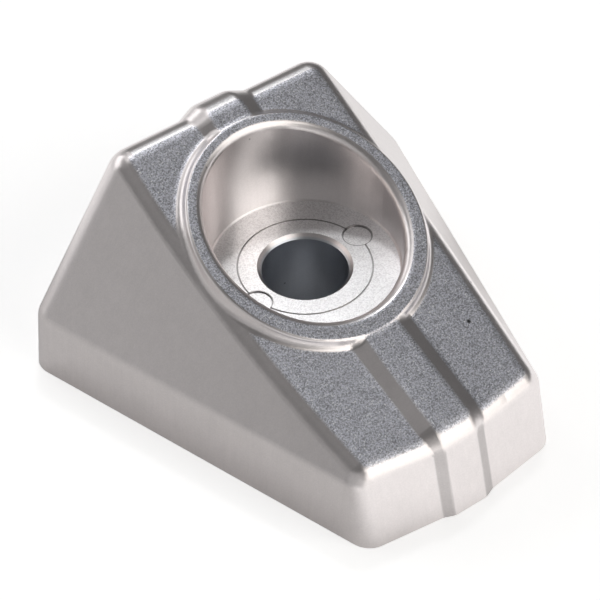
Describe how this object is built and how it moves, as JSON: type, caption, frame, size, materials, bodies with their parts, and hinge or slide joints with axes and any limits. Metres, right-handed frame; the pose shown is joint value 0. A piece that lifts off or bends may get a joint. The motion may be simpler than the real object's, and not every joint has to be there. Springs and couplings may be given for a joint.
{
  "type": "sacrificial anode",
  "caption": "Wedge-shaped cast anode with a hollow sloping top, a rib down its middle and a raised collar round a counterbored bolt hole.",
  "frame": {"origin": "centre of the bolt hole on the flat mounting face", "axes": "+Z along the bolt hole, out of the counterbore; -Y towards the low nose of the wedge, +Y towards its tall end; X across, the part being the same on both sides of X 0"},
  "size_m": [0.0452, 0.0428, 0.023],
  "materials": {
    "cast_metal": "as cast, unpainted"
  },
  "bodies": {
    "root": {"anode_body": "cast_metal"}
  },
  "joints": []
}
